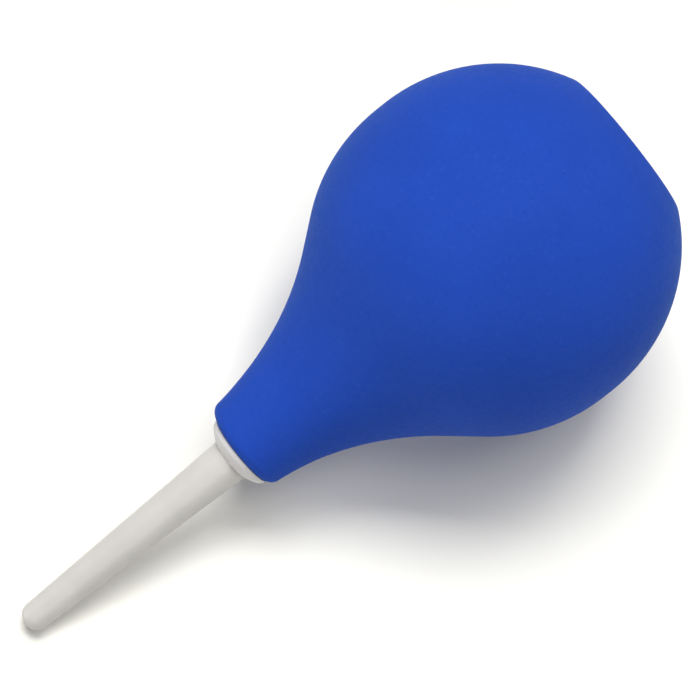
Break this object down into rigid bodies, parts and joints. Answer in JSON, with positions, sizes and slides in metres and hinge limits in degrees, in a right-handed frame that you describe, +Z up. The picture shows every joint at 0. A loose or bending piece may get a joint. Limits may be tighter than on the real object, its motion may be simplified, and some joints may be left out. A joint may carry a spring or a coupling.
{
  "type": "enema bulb",
  "caption": "Pear-shaped rubber squeeze bulb with a flat thumb base, a domed collar in its neck and a detachable tapered nozzle.",
  "frame": {"origin": "on the table, below the middle of the lying object's bounding box", "axes": "+Z up from the table at z = 0; the object's own axis lies in the XZ plane, with the thumb base towards +X and the nozzle towards -X, sloping down 16.23 degrees until its tip touches the table; the object is symmetric about y = 0"},
  "size_m": [0.169, 0.0802, 0.0804],
  "materials": {
    "rubber": "powdery matte",
    "rubber_base": "powdery matte",
    "collar_plastic": "satin",
    "nozzle_plastic": "satin"
  },
  "bodies": {
    "bulb": {"bulb": "rubber"},
    "thumb_base": {"bulb_base": "rubber_base"},
    "collar": {"neck_collar": "collar_plastic"},
    "nozzle": {"nozzle": "nozzle_plastic"}
  },
  "joints": [
    {"name": "bulb_squeeze", "type": "slide", "parent": "bulb", "child": "thumb_base", "axis": [-0.9601, 0, -0.2795], "range_m": [0, 0.022], "stiffness_N_per_m": 1100},
    {"name": "collar_turn", "type": "hinge", "parent": "bulb", "child": "collar", "pos_m": [-0.02395, 0, 0.02029], "axis": [-0.9601, 0, -0.2795], "continuous": true},
    {"name": "nozzle_pull", "type": "slide", "parent": "collar", "child": "nozzle", "axis": [-0.9601, 0, -0.2795], "range_m": [0, 0.012]}
  ]
}
